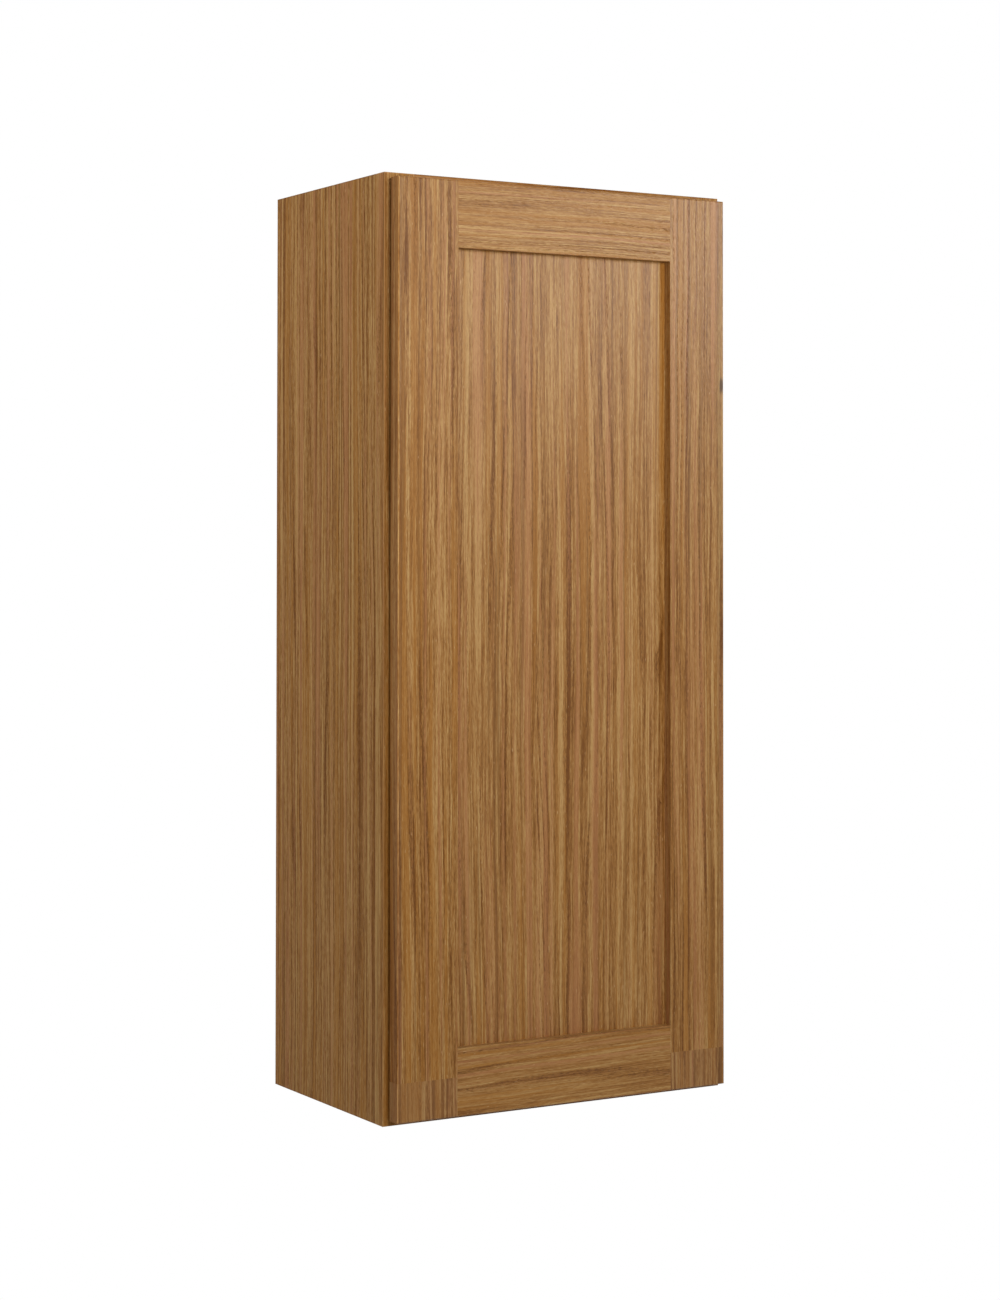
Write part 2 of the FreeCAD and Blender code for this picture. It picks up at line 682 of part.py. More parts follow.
def hinges():
    for name, level in HINGES.items():
        hinge_cup(name, level)
        hinge_pin(name, level)
        hinge_arm(name, level)
        hinge_plate(name, level)
    arm_screw = screw("arm_screw", "x", "arm_screw_length", "head_height", forward=True)
    plate_screw = screw("plate_screw", "x", "plate_screw_length", "head_height", forward=True)
    cup_screw = screw("cup_screw", "y", "cup_screw_length", "low_head_height", forward=False)
    plate_face = f"{OPENING_HALF} - plate_thickness"
    arm_face = f"{plate_face} - arm_thickness"
    cup_column = f"{CUP_X} - cup_screw_offset"
    flange_face = f"{DOOR_BACK} + flange_thickness"
    levels = HINGES.values()
    plate_rows = pairs_about(levels, "plate_screw_spread")
    cup_rows = pairs_about(levels, "cup_screw_spread")
    group("hinge_arm_screws", arm_screw, [(arm_face, ARM_SCREW_Y, level) for level in levels])
    group("hinge_plate_screws", plate_screw, [(plate_face, ARM_SCREW_Y, row) for row in plate_rows])
    group("hinge_cup_screws", cup_screw, [(cup_column, flange_face, row) for row in cup_rows])


# Checks and files

def check_and_write():
    doc.recompute()
    failed = [item.Label for item in doc.Objects if {"Invalid", "Error"} & set(item.State)]
    if failed:
        raise RuntimeError(f"Failed objects: {failed}")
    for item in subparts:
        if item.Shape.isNull() or not item.Shape.isValid():
            raise RuntimeError(f"{item.Label} has no valid shape")
    os.makedirs("parts", exist_ok=True)
    for item in subparts:
        item.Shape.exportStep(f"parts/{item.Label}.step")
        print(f"{item.Label}: {len(item.Shape.Solids)} solids, {item.Shape.Volume / 1000:.2f} cm3")


make_sheet()
carcass_boards()
for side in SIDES:
    side_panel(side)
    frame_stile(side)
    door_stile(side)
frame_rails()
frame_dowels()
shelves()
door_rail("top", "1")
door_rail("bottom", "-1")
door_panel()
door_bumpers()
hinges()
check_and_write()
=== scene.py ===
import math

import bmesh
import bpy
from mathutils import Matrix, Vector


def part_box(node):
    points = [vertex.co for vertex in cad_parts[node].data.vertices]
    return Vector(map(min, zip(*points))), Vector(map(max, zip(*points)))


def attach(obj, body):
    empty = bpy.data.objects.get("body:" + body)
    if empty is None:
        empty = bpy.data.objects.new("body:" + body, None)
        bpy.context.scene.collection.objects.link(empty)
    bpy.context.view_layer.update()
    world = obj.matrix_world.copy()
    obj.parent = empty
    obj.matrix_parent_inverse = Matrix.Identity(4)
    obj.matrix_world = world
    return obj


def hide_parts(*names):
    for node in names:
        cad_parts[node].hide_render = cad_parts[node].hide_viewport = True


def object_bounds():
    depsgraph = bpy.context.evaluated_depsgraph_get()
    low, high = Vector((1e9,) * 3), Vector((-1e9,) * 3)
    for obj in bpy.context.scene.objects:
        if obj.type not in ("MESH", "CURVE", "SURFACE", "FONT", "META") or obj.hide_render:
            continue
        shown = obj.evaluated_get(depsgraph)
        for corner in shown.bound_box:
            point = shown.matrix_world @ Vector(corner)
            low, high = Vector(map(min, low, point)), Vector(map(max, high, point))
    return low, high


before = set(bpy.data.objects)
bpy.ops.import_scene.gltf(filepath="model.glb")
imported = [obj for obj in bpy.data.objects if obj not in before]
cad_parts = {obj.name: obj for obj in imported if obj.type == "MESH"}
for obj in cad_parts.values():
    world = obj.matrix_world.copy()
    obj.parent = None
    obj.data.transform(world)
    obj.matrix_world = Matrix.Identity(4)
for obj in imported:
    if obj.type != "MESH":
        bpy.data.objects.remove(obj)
CAD_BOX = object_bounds()

# View: lengths in metres, pixels of a picture 1000 wide and 1300 high
PICTURE_WIDTH = 1000
PICTURE_HEIGHT = 1300
FOCAL_PIXELS = 2696.6
AXIS_PIXEL = (600.0, 492.1)
CAMERA_PLACE = (-1.593, -2.9857, 0.1096)
CAMERA_YAW = 31.451
CAMERA_PITCH = 1.219
SENSOR_MM = 36.0

# Light: places, targets and sides in metres, power in watts
WHITE = (1.0, 1.0, 1.0, 1.0)
AMBIENT = 0.34
FLOOR_DROP = 1.37
FLOOR_RADIUS = 40.0
FLOOR_SEGMENTS = 64
FLOOR_GLOW = 0.8
FLOOR_GLOW_REACH = (1.2, 2.6)
LAMPS = {
    "front_lamp": {"place": (-0.13, -2.4, 0.7), "target": (0.0, -0.3, 1.5), "side": 0.8, "power": 42.5},
    "sheen_lamp": {"place": (1.5, -2.3, 0.9), "target": (0.1, -0.3, 1.8), "side": 0.8, "power": 43.0},
    "side_lamp": {"place": (-1.6, -0.14, 0.68), "target": (-0.22, -0.16, 0.45), "side": 0.9, "power": 10.2},
    "back_lamp": {"place": (1.7, 1.1, 0.7), "target": (0.15, -0.1, 0.1), "side": 0.9, "power": 17.0},
}
# Lamps that give no gloss, lamps that give nothing else, and the colour of the latter
MATT_ONLY = ("front_lamp",)
GLOSS_ONLY = ("sheen_lamp",)
SHEEN_TINT = (1.0, 0.99, 0.92)


def tint(red, green, blue):
    """Turn a colour as it is seen on a screen, 0 to 255, into the shader's linear one."""
    def linear(level):
        share = level / 255
        return share / 12.92 if share <= 0.04045 else ((share + 0.055) / 1.055) ** 2.4

    return linear(red), linear(green), linear(blue), 1.0


# Materials

class Signal:
    """A value that flows through a material, with the operators that its formulas use."""

    def __init__(self, finish, socket):
        self.finish = finish
        self.socket = socket

    def math(self, operation, *values):
        return self.finish.node("ShaderNodeMath", {"operation": operation}, dict(enumerate(values)))

    def __add__(self, other):
        return self.math("ADD", self, other)

    def __radd__(self, other):
        return self.math("ADD", other, self)

    def __sub__(self, other):
        return self.math("SUBTRACT", self, other)

    def __rsub__(self, other):
        return self.math("SUBTRACT", other, self)

    def __mul__(self, other):
        return self.math("MULTIPLY", self, other)

    def __rmul__(self, other):
        return self.math("MULTIPLY", other, self)

    def least(self, other):
        return self.math("MINIMUM", self, other)

    def most(self, other):
        return self.math("MAXIMUM", self, other)

    def wrapped(self):
        return self.math("FRACT", self)

    def root(self):
        return self.math("SQRT", self)

    def size(self):
        return self.math("ABSOLUTE", self)

    def above(self, level):
        """Give 1 where the value is over a level, and 0 elsewhere."""
        return self.math("GREATER_THAN", self, level)

    def eased(self, low, high):
        """Rise smoothly from 0 at low to 1 at high."""
        sockets = {"Value": self, "From Min": low, "From Max": high}
        return self.finish.node("ShaderNodeMapRange", {"interpolation_type": "SMOOTHSTEP"}, sockets)


class Finish:
    """A material under construction: its shader, and the nodes that feed it."""

    def __init__(self, label, **constants):
        self.material = bpy.data.materials.new(label)
        self.material.use_nodes = True
        self.tree = self.material.node_tree
        self.tree.nodes.clear()
        self.output = self.tree.nodes.new("ShaderNodeOutputMaterial")
        self.shader = self.tree.nodes.new("ShaderNodeBsdfPrincipled")
        self.tree.links.new(self.shader.outputs[0], self.output.inputs["Surface"])
        self.feed(self.shader, constants)

    def feed(self, node, sockets):
        for key, value in sockets.items():
            socket = node.inputs[key.replace("_", " ") if isinstance(key, str) else key]
            if isinstance(value, Signal):
                self.tree.links.new(value.socket, socket)
            else:
                socket.default_value = value

    def node(self, kind, settings=None, sockets=None, output=0):
        """Add a node: its settings first, a ramp's stops among them, then what its sockets hold."""
        made = self.tree.nodes.new(kind)
        for key, value in (settings or {}).items():
            if key == "stops":
                ramp = made.color_ramp.elements
                while len(ramp) < len(value):
                    ramp.new(1.0)
                for stop, (position, colour) in zip(ramp, value):
                    stop.position = position
                    stop.color = colour
            else:
                setattr(made, key, value)
        self.feed(made, sockets or {})
        return Signal(self, made.outputs[output])

    def place(self):
        return self.node("ShaderNodeTexCoord", output="Object")

    def split(self, vector):
        parts = self.node("ShaderNodeSeparateXYZ", sockets={0: vector}).socket.node
        return [Signal(self, socket) for socket in parts.outputs]

    def joined(self, x, y, z):
        return self.node("ShaderNodeCombineXYZ", sockets={0: x, 1: y, 2: z})

    def scaled(self, vector, scale):
        return self.node("ShaderNodeVectorMath", {"operation": "MULTIPLY"}, {0: vector, 1: scale})

    def moved(self, vector, step):
        return self.node("ShaderNodeVectorMath", {"operation": "ADD"}, {0: vector, 1: step})

    def noise(self, vector, scale, detail=2.0, roughness=0.5):
        """Give a cloudy value about 0.5; scale holds the number of clouds to a metre along each axis."""
        return self.node("ShaderNodeTexNoise", {"noise_dimensions": "3D"}, {
            "Vector": self.scaled(vector, scale),
            "Scale": 1.0,
            "Detail": detail,
            "Roughness": roughness,
        })

    def ramp(self, value, stops):
        return self.node("ShaderNodeValToRGB", {"stops": stops}, {0: value})

    def mix(self, share, first, second, blend="MIX"):
        settings = {"data_type": "RGBA", "blend_type": blend}
        return self.node("ShaderNodeMix", settings, {0: share, 6: first, 7: second}, output=2)

    def relief(self, height, strength, depth):
        sockets = {"Height": height, "Strength": strength, "Distance": depth}
        self.feed(self.shader, {"Normal": self.node("ShaderNodeBump", sockets=sockets)})

    def paint(self, **signals):
        self.feed(self.shader, signals)
        return self.material


def dress(node, material):
    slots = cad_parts[node].data.materials
    slots.clear()
    slots.append(material)


# Oak

OAK_DARK = tint(108, 64, 19)
OAK_MID = tint(151, 105, 53)
OAK_LIGHT = tint(181, 142, 88)
OAK_PINK = tint(167, 114, 72)
OAK_GOLD = tint(158, 105, 42)
OAK_GREY = tint(118, 78, 35)
OAK_PORE = tint(86, 49, 15)
OAK_FLECK = tint(204, 168, 120)
# Paler arris tone: partly wear, partly a painted highlight where the light catches the edge
OAK_WEAR_AND_HIGHLIGHT = tint(192, 147, 95)
OAK_EDGE = tint(112, 67, 29)
OAK_TOE = tint(138, 98, 64)
OAK_KNOT = tint(62, 38, 20)
SEED_STEP = Vector((1.37, 0.71, 2.93))
UPRIGHT = 0.0
LYING = -90.0
RINGS_TO_A_METRE = 96.0
RING_DRIFT = 9.0
SLOW_SWAY = 0.016
QUICK_SWAY = 0.0026
# What each kind of line weighs in the figure, and how far each tint covers the wood
BAND_WEIGHT = 0.62
STREAK_WEIGHT = 0.9
FIBRE_WEIGHT = 0.9
SPECK_WEIGHT = 0.5
RING_WEIGHT = 0.2
PINK_SHARE = 0.6
GOLD_SHARE = 0.55
PORE_SHARE = 0.8
FLECK_SHARE = 0.5
TOE_SHARE = 0.35
KNOT_SHARE = 0.85
GRAIN_DEPTH = 0.0004
ARRIS_REACH = (0.0004, 0.0018)
# Below a splice near the foot of the door's stiles, another and livelier stretch of grain shows
SPLICE_RISE = 0.044
SPLICE_SHIFT = (0.37, 0.61)
SPLICE_CONTRAST = 0.9
# Knots: the middle of each, and how far it reaches along each axis
RIGHT_KNOT = (Vector((0.2158, -0.306, 0.306)), (0.0042, 0.02, 0.013))
LEFT_KNOT = (Vector((-0.2213, -0.2875, 0.272)), (0.0024, 0.003, 0.008))
# Gloss and roughness of the finish, and the tone of the arrises with its strength
DOOR_LOOK = {"coat": (0.18, 0.31), "arris": (OAK_EDGE, 0.1)}
CARCASS_LOOK = {"coat": (0.05, 0.52), "arris": (OAK_EDGE, 0.35)}
SIDE_LOOK = {"tilt": 58.0, "contrast": 1.6, "broad": 0.5, "stretch": 2.4}
THIN_COAT = (0.15, 0.31)
# Painted light and shade along the outer edge of a door stile: metres from the edge, and what multiplies
# the wood's colour
EDGE_PAINT_REACH = 0.012
EDGE_DULL = 0.25
EDGE_DULL_REACH = (0.0002, 0.0008)
# Left edge: painted shade on the edge face, a painted highlight on the rounded arris, and a line of painted
# shade beside it on the front
PAINTED_SHADE_EDGE_FACE = (0.80, 0.73, 0.68, 1.0)
PAINTED_ARRIS_HIGHLIGHT = (1.26, 1.28, 1.34, 1.0)
PAINTED_SHADE_LINE = (0.70, 0.65, 0.65, 1.0)
# Right edge: a rim of painted shade at the arris, and a band of painted shade a little in from it
PAINTED_SHADE_RIM = (0.88, 0.76, 0.56, 1.0)
PAINTED_SHADE_BAND = (0.78, 0.76, 0.70, 1.0)
LEFT_EDGE_PAINTED_LIGHT = ((0.0, PAINTED_SHADE_EDGE_FACE), (0.0001, PAINTED_SHADE_EDGE_FACE), (0.0003, PAINTED_ARRIS_HIGHLIGHT), (0.0012, PAINTED_ARRIS_HIGHLIGHT),
              (0.0022, PAINTED_SHADE_LINE), (0.0044, PAINTED_SHADE_LINE), (0.0062, WHITE))
RIGHT_EDGE_PAINTED_SHADE = ((0.0, PAINTED_SHADE_RIM), (0.0002, PAINTED_SHADE_RIM), (0.0006, WHITE), (0.0022, WHITE),
               (0.0036, PAINTED_SHADE_BAND), (0.0086, PAINTED_SHADE_BAND), (0.0105, WHITE))


def edge_distance(finish, place, node):
    """Measure how far a point of a board lies from the nearest arris of the board's box."""
    low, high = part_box(node)
    values = enumerate(finish.split(place))
    gaps = [(value - low[axis]).least(high[axis] - value) for axis, value in values]
    return gaps[0].least(gaps[1]).most(gaps[0].most(gaps[1]).least(gaps[2]))


def along_grain(finish, place, turn, seed, tilt=0.0):
    """Turn a board's place so that x runs across its grain and z along it; the seed sets boards apart."""
    return finish.node("ShaderNodeMapping", sockets={
        "Vector": place,
        "Location": SEED_STEP * seed,
        "Rotation": (0.0, math.radians(turn), math.radians(tilt)),
    })


def oak(node, turn, seed, coat, arris, tilt=35.0, level=0.54, contrast=1.0, broad=1.0, fine=1.0,
        stretch=1.0, rings=1.0, gold=0.0, grey=0.55, painted_edge_light=None, splice=None, knot=None):
    """Rift-cut oak: wavering rings, streaks of several browns, pores, and arrises of a tone of their own,
    on the frame's left stile partly a painted highlight.

    level is the mean tone, and contrast the strength of the whole figure. broad and rings weigh its
    bands and ring lines, fine packs it across the grain, and stretch lengthens its streaks. gold and
    grey turn the wood towards those tints.
    """
    gloss, rough = coat
    finish = Finish(f"oak_{node}", Specular_IOR_Level=gloss)
    place = finish.place()
    turned = finish.scaled(along_grain(finish, place, turn, seed, tilt), (fine, fine, 1.0))
    below = None
    if splice is not None:
        below = (splice - finish.split(place)[2]).above(0.0)
        turned = finish.moved(turned, finish.joined(below * SPLICE_SHIFT[0], 0.0, below * SPLICE_SHIFT[1]))
    slow = finish.noise(turned, (4.0, 4.0, 1.5), detail=1.0)
    quick = finish.noise(turned, (26.0, 26.0, 9.0), detail=1.0)
    sway = (slow - 0.5) * SLOW_SWAY + (quick - 0.5) * QUICK_SWAY
    grain = finish.moved(turned, finish.joined(sway, 0.0, 0.0))
    across = finish.split(grain)[0]

    bands = finish.noise(grain, (145.0, 14.0, 0.5), detail=1.0)
    streaks = finish.noise(grain, (400.0, 40.0, 4.5 / stretch), detail=2.0, roughness=0.6)
    fibres = finish.noise(grain, (1400.0, 220.0, 24.0), detail=2.0, roughness=0.65)
    specks = finish.noise(grain, (1300.0, 1300.0, 130.0), detail=1.0)
    drift = finish.noise(grain, (18.0, 5.0, 0.8), detail=1.0)
    strength = finish.noise(grain, (90.0, 12.0, 2.2), detail=1.0)
    ring = (across * RINGS_TO_A_METRE + (drift - 0.5) * RING_DRIFT).wrapped()
    early = ring.eased(0.0, 0.12) * (1.0 - ring.eased(0.12, 0.5)) * strength.eased(0.40, 0.66)

    figure = (
        (bands - 0.5) * (BAND_WEIGHT * broad)
        + (streaks - 0.5) * STREAK_WEIGHT
        + (fibres - 0.5) * FIBRE_WEIGHT
        + (specks - 0.5) * SPECK_WEIGHT
    )
    lively = contrast if below is None else contrast + below * SPLICE_CONTRAST
    tone = level + lively * (figure - early * (RING_WEIGHT * rings))
    colour = finish.ramp(tone, [(0.22, OAK_DARK), (0.5, OAK_MID), (0.78, OAK_LIGHT)])

    warmth = finish.noise(grain, (150.0, 16.0, 1.1), detail=2.0) - gold
    colour = finish.mix(warmth.eased(0.52, 0.66) * PINK_SHARE, colour, OAK_PINK)
    colour = finish.mix((1.0 - warmth).eased(0.53, 0.66) * GOLD_SHARE, colour, OAK_GOLD)
    ash = finish.noise(grain, (240.0, 24.0, 1.2), detail=2.0)
    colour = finish.mix(ash.eased(0.58, 0.70) * grey, colour, OAK_GREY)

    beads = finish.noise(grain, (1700.0, 1700.0, 190.0), detail=1.0)
    pores = beads.eased(0.50, 0.66) * (0.22 + 0.78 * early)
    colour = finish.mix(pores * PORE_SHARE, colour, OAK_PORE)
    flecks = finish.noise(grain, (900.0, 900.0, 150.0), detail=0.0)
    colour = finish.mix(flecks.eased(0.76, 0.90) * FLECK_SHARE, colour, OAK_FLECK)

    if below is not None:
        colour = finish.mix(below * TOE_SHARE, colour, OAK_TOE)
    if knot is not None:
        centre, reach = knot
        offset = finish.scaled(finish.moved(place, -centre), [1 / size for size in reach])
        far = finish.node("ShaderNodeVectorMath", {"operation": "LENGTH"}, {0: offset}, output="Value")
        colour = finish.mix((1.0 - (far + fibres - 0.5).eased(0.45, 1.0)) * KNOT_SHARE, colour, OAK_KNOT)

    roughness = rough + 0.08 * streaks + 0.2 * pores
    # Painted highlight and painted shade along a door stile's outer edge, multiplied into the wood's
    # colour; the edge face is made rougher too
    if painted_edge_light is not None:
        edge, stops = painted_edge_light
        beside = (finish.split(place)[0] - edge).size()
        shades = [(distance / EDGE_PAINT_REACH, shade) for distance, shade in stops]
        edge_painted_light = finish.ramp(beside * (1 / EDGE_PAINT_REACH), shades)
        colour = finish.mix(1.0, colour, edge_painted_light, blend="MULTIPLY")
        roughness = roughness + EDGE_DULL * (1.0 - beside.eased(*EDGE_DULL_REACH))
    near_edge = 1.0 - edge_distance(finish, place, node).eased(*ARRIS_REACH)
    colour = finish.mix(near_edge * arris[1], colour, arris[0])

    finish.relief(fibres * 0.4 - pores, strength=0.3, depth=GRAIN_DEPTH)
    return finish.paint(Base_Color=colour, Roughness=roughness)


def dress_oak():
    # Each board's grain direction and seed
    boards = {
        "door_left_stile": (UPRIGHT, 1),
        "door_right_stile": (UPRIGHT, 2),
        "door_top_rail": (LYING, 3),
        "door_bottom_rail": (LYING, 4),
        "door_panel": (UPRIGHT, 5),
        "left_side_panel": (UPRIGHT, 6),
        "right_side_panel": (UPRIGHT, 7),
        "frame_left_stile": (UPRIGHT, 8),
        "frame_right_stile": (UPRIGHT, 9),
        "frame_top_rail": (LYING, 10),
        "frame_bottom_rail": (LYING, 11),
        "top_panel": (LYING, 12),
        "bottom_panel": (LYING, 13),
        "upper_shelf": (LYING, 14),
        "middle_shelf": (LYING, 15),
        "lower_shelf": (LYING, 16),
    }
    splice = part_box("door_left_stile")[0].z + SPLICE_RISE
    # Painted highlight and painted shade along the outer edges of the door's stiles
    left_painted_edge = (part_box("door_left_stile")[0].x, LEFT_EDGE_PAINTED_LIGHT)
    right_painted_edge = (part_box("door_right_stile")[1].x, RIGHT_EDGE_PAINTED_SHADE)
    extras = {
        "left_side_panel": SIDE_LOOK,
        "right_side_panel": SIDE_LOOK,
        "door_left_stile": {
            "level": 0.52, "contrast": 1.25, "broad": 0.6, "gold": 0.05,
            "splice": splice, "painted_edge_light": left_painted_edge, "coat": THIN_COAT,
        },
        "door_right_stile": {
            "level": 0.52, "contrast": 1.05, "broad": 0.9,
            "splice": splice, "knot": RIGHT_KNOT, "painted_edge_light": right_painted_edge,
        },
        "door_top_rail": {
            "level": 0.565, "contrast": 1.2, "broad": 0.2, "fine": 1.25,
            "rings": 0.4, "gold": 0.08, "grey": 0.15, "coat": THIN_COAT,
        },
        "door_bottom_rail": {"level": 0.56, "contrast": 0.82, "broad": 0.3, "fine": 1.05},
        "door_panel": {"contrast": 1.08, "broad": 1.2},
        # Pale arrises on the frame's left stile: partly wear, partly a painted highlight
        "frame_left_stile": {"knot": LEFT_KNOT, "arris": (OAK_WEAR_AND_HIGHLIGHT, 0.35)},
    }
    for node, (turn, seed) in boards.items():
        look = DOOR_LOOK if node.startswith("door") else CARCASS_LOOK
        dress(node, oak(node, turn, seed, **{**look, **extras.get(node, {})}))


# Plywood, beech, metal and the soft bumpers

PLY_FACE = tint(196, 160, 112)
PLY_PALE = tint(212, 178, 132)
PLY_CROSS = tint(158, 116, 72)
PLY_GLUE = tint(96, 64, 38)
BEECH_PALE = tint(206, 164, 120)
BEECH_RAY = tint(150, 102, 66)
NICKEL = tint(196, 192, 184)
NICKEL_DULL = tint(158, 154, 147)
ZINC = tint(188, 191, 196)
ZINC_DULL = tint(140, 143, 148)
STEEL = tint(178, 178, 178)
STEEL_DULL = tint(120, 120, 122)
BUMPER_CLEAR = tint(222, 224, 220)
BUMPER_CLOUD = tint(196, 199, 194)
BARE_WOOD_GLOSS = 0.15
BEECH_SEED = 3


def ply(node, turn, seed, layers):
    """Birch plywood, thin along y: a broad peeled figure on its faces, and crossed layers at its edges."""
    finish = Finish(f"ply_{node}", Specular_IOR_Level=BARE_WOOD_GLOSS)
    place = finish.place()
    low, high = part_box(node)
    depth = (finish.split(place)[1] - low.y) * (layers / (high.y - low.y))
    crosswise = (depth * 0.5).wrapped().above(0.5)
    seam = (depth.wrapped() - 0.5).size().eased(0.42, 0.48)
    inside = depth.eased(0.3, 0.5) * (layers - depth).eased(0.3, 0.5)

    grain = along_grain(finish, place, turn, seed)
    field = finish.noise(grain, (7.0, 7.0, 1.1), detail=1.0)
    rings = (field * 11.0).wrapped()
    figure = rings.eased(0.0, 0.85) * (1.0 - rings.eased(0.9, 1.0))
    fibres = finish.noise(grain, (700.0, 700.0, 12.0), detail=2.0, roughness=0.6)
    cloud = finish.noise(grain, (5.0, 5.0, 3.0), detail=2.0)
    tone = figure * 0.35 + fibres * 0.75 + (cloud - 0.5) * 0.7
    colour = finish.mix(tone.eased(0.2, 0.95), PLY_PALE, PLY_FACE)
    colour = finish.mix(crosswise * (0.55 + 0.4 * fibres), colour, PLY_CROSS)
    colour = finish.mix(seam * inside * 0.7, colour, PLY_GLUE)
    finish.relief(fibres - seam * inside, strength=0.25, depth=0.0003)
    return finish.paint(Base_Color=colour, Roughness=0.45 + 0.2 * fibres)


def beech(node):
    """Pale beech along x, with the short brown flecks of its rays."""
    finish = Finish(f"beech_{node}", Specular_IOR_Level=BARE_WOOD_GLOSS)
    grain = along_grain(finish, finish.place(), LYING, BEECH_SEED)
    fibres = finish.noise(grain, (900.0, 900.0, 20.0), detail=2.0)
    rays = finish.noise(grain, (1600.0, 700.0, 240.0), detail=1.0).eased(0.58, 0.7)
    colour = finish.mix(rays * 0.7 + (fibres - 0.5) * 0.4, BEECH_PALE, BEECH_RAY)
    finish.relief(fibres, strength=0.2, depth=0.0002)
    return finish.paint(Base_Color=colour, Roughness=0.5 + 0.15 * fibres)


def metal(label, bright, dull, roughness, grain):
    """Plated steel: soft cloudy patches, and the fine lines that rolling and tumbling leave."""
    finish = Finish(label, Metallic=1.0)
    place = finish.place()
    clouds = finish.noise(place, (260.0, 260.0, 260.0), detail=3.0)
    lines = finish.noise(place, grain, detail=2.0)
    colour = finish.mix(clouds.eased(0.42, 0.72) * 0.6 + (lines - 0.5) * 0.3, bright, dull)
    finish.relief(lines * 0.6 + clouds * 0.4, strength=0.12, depth=0.0001)
    return finish.paint(Base_Color=colour, Roughness=roughness + 0.14 * clouds + 0.08 * lines)


def soft_clear(node):
    """A clear soft button, a little cloudy inside and duller where it is struck."""
    finish = Finish(f"soft_{node}", Transmission_Weight=0.45, IOR=1.46)
    clouds = finish.noise(finish.place(), (420.0, 420.0, 420.0), detail=2.0)
    colour = finish.mix(clouds.eased(0.4, 0.7), BUMPER_CLEAR, BUMPER_CLOUD)
    finish.relief(clouds, strength=0.1, depth=0.0002)
    return finish.paint(Base_Color=colour, Roughness=0.22 + 0.25 * clouds)


def dress_other_nodes():
    """Dress every node that isn't oak, and give back the finish of the screws."""
    dress("back_panel", ply("back_panel", UPRIGHT, seed=17, layers=5))
    dress("upper_hanging_rail", ply("upper_hanging_rail", LYING, seed=18, layers=9))
    dress("lower_hanging_rail", ply("lower_hanging_rail", LYING, seed=19, layers=9))
    dress("frame_dowels", beech("frame_dowels"))
    dress("door_bumpers", soft_clear("door_bumpers"))
    pressed = metal("nickel_plate", NICKEL, NICKEL_DULL, roughness=0.24, grain=(1400.0, 1400.0, 160.0))
    turned = metal("bright_steel", STEEL, STEEL_DULL, roughness=0.22, grain=(300.0, 300.0, 2600.0))
    tumbled = metal("zinc_plate", ZINC, ZINC_DULL, roughness=0.32, grain=(1800.0, 1800.0, 1800.0))
    for level in ("upper", "middle", "lower"):
        for piece in ("cup", "arm", "plate"):
            dress(f"{level}_hinge_{piece}", pressed)
        dress(f"{level}_hinge_pin", turned)
        dress(f"{level}_shelf_pins", turned)
    for piece in ("arm", "plate", "cup"):
        dress(f"hinge_{piece}_screws", tumbled)
    return tumbled


# Screws of the hinges, with the cross recess and the domed head that the plain solids leave out

HEAD_RADIUS = 0.00325
HEAD_HEIGHT = 0.0016
CUP_HEAD_HEIGHT = 0.0008
PLATE_SCREW_LENGTH = 0.016
ARM_SCREW_LENGTH = 0.008
CUP_SCREW_LENGTH = 0.012
SHANK_RADIUS = 0.00148
# Shares of the head's radius and height: the flat on top, then the outline down to the seat
DOME_FLAT = 0.5
DOME = ((0.74, 0.95), (0.90, 0.78), (0.98, 0.52), (1.0, 0.24), (0.985, 0.0))
RECESS_REACH = 0.0014
RECESS_HALF_WIDTH = 0.00036
RECESS_TAPER = 0.62
RECESS_DEPTH = 0.6
TIP_LENGTH = 0.0026
TIP_SHARE = 0.12
PLATE_SCREW_STEP = 0.017
CUP_SCREW_STEP = 0.0225
ROUND_SEGMENTS = 24
SHARP_ANGLE = 38.0


def grown(shape, rim, share, height):
    """Extrude a closed rim, scale its new edges about the z axis by a share, and set them at a height."""
    made = bmesh.ops.extrude_edge_only(shape, edges=rim)["geom"]
    corners = [item for item in made if isinstance(item, bmesh.types.BMVert)]
    bmesh.ops.scale(shape, vec=(share, share, 1.0), verts=corners)
    bmesh.ops.translate(shape, vec=(0.0, 0.0, height - corners[0].co.z), verts=corners)
    kept = set(corners)
    edges = [item for item in made if isinstance(item, bmesh.types.BMEdge)]
    return [edge for edge in edges if kept.issuperset(edge.verts)]


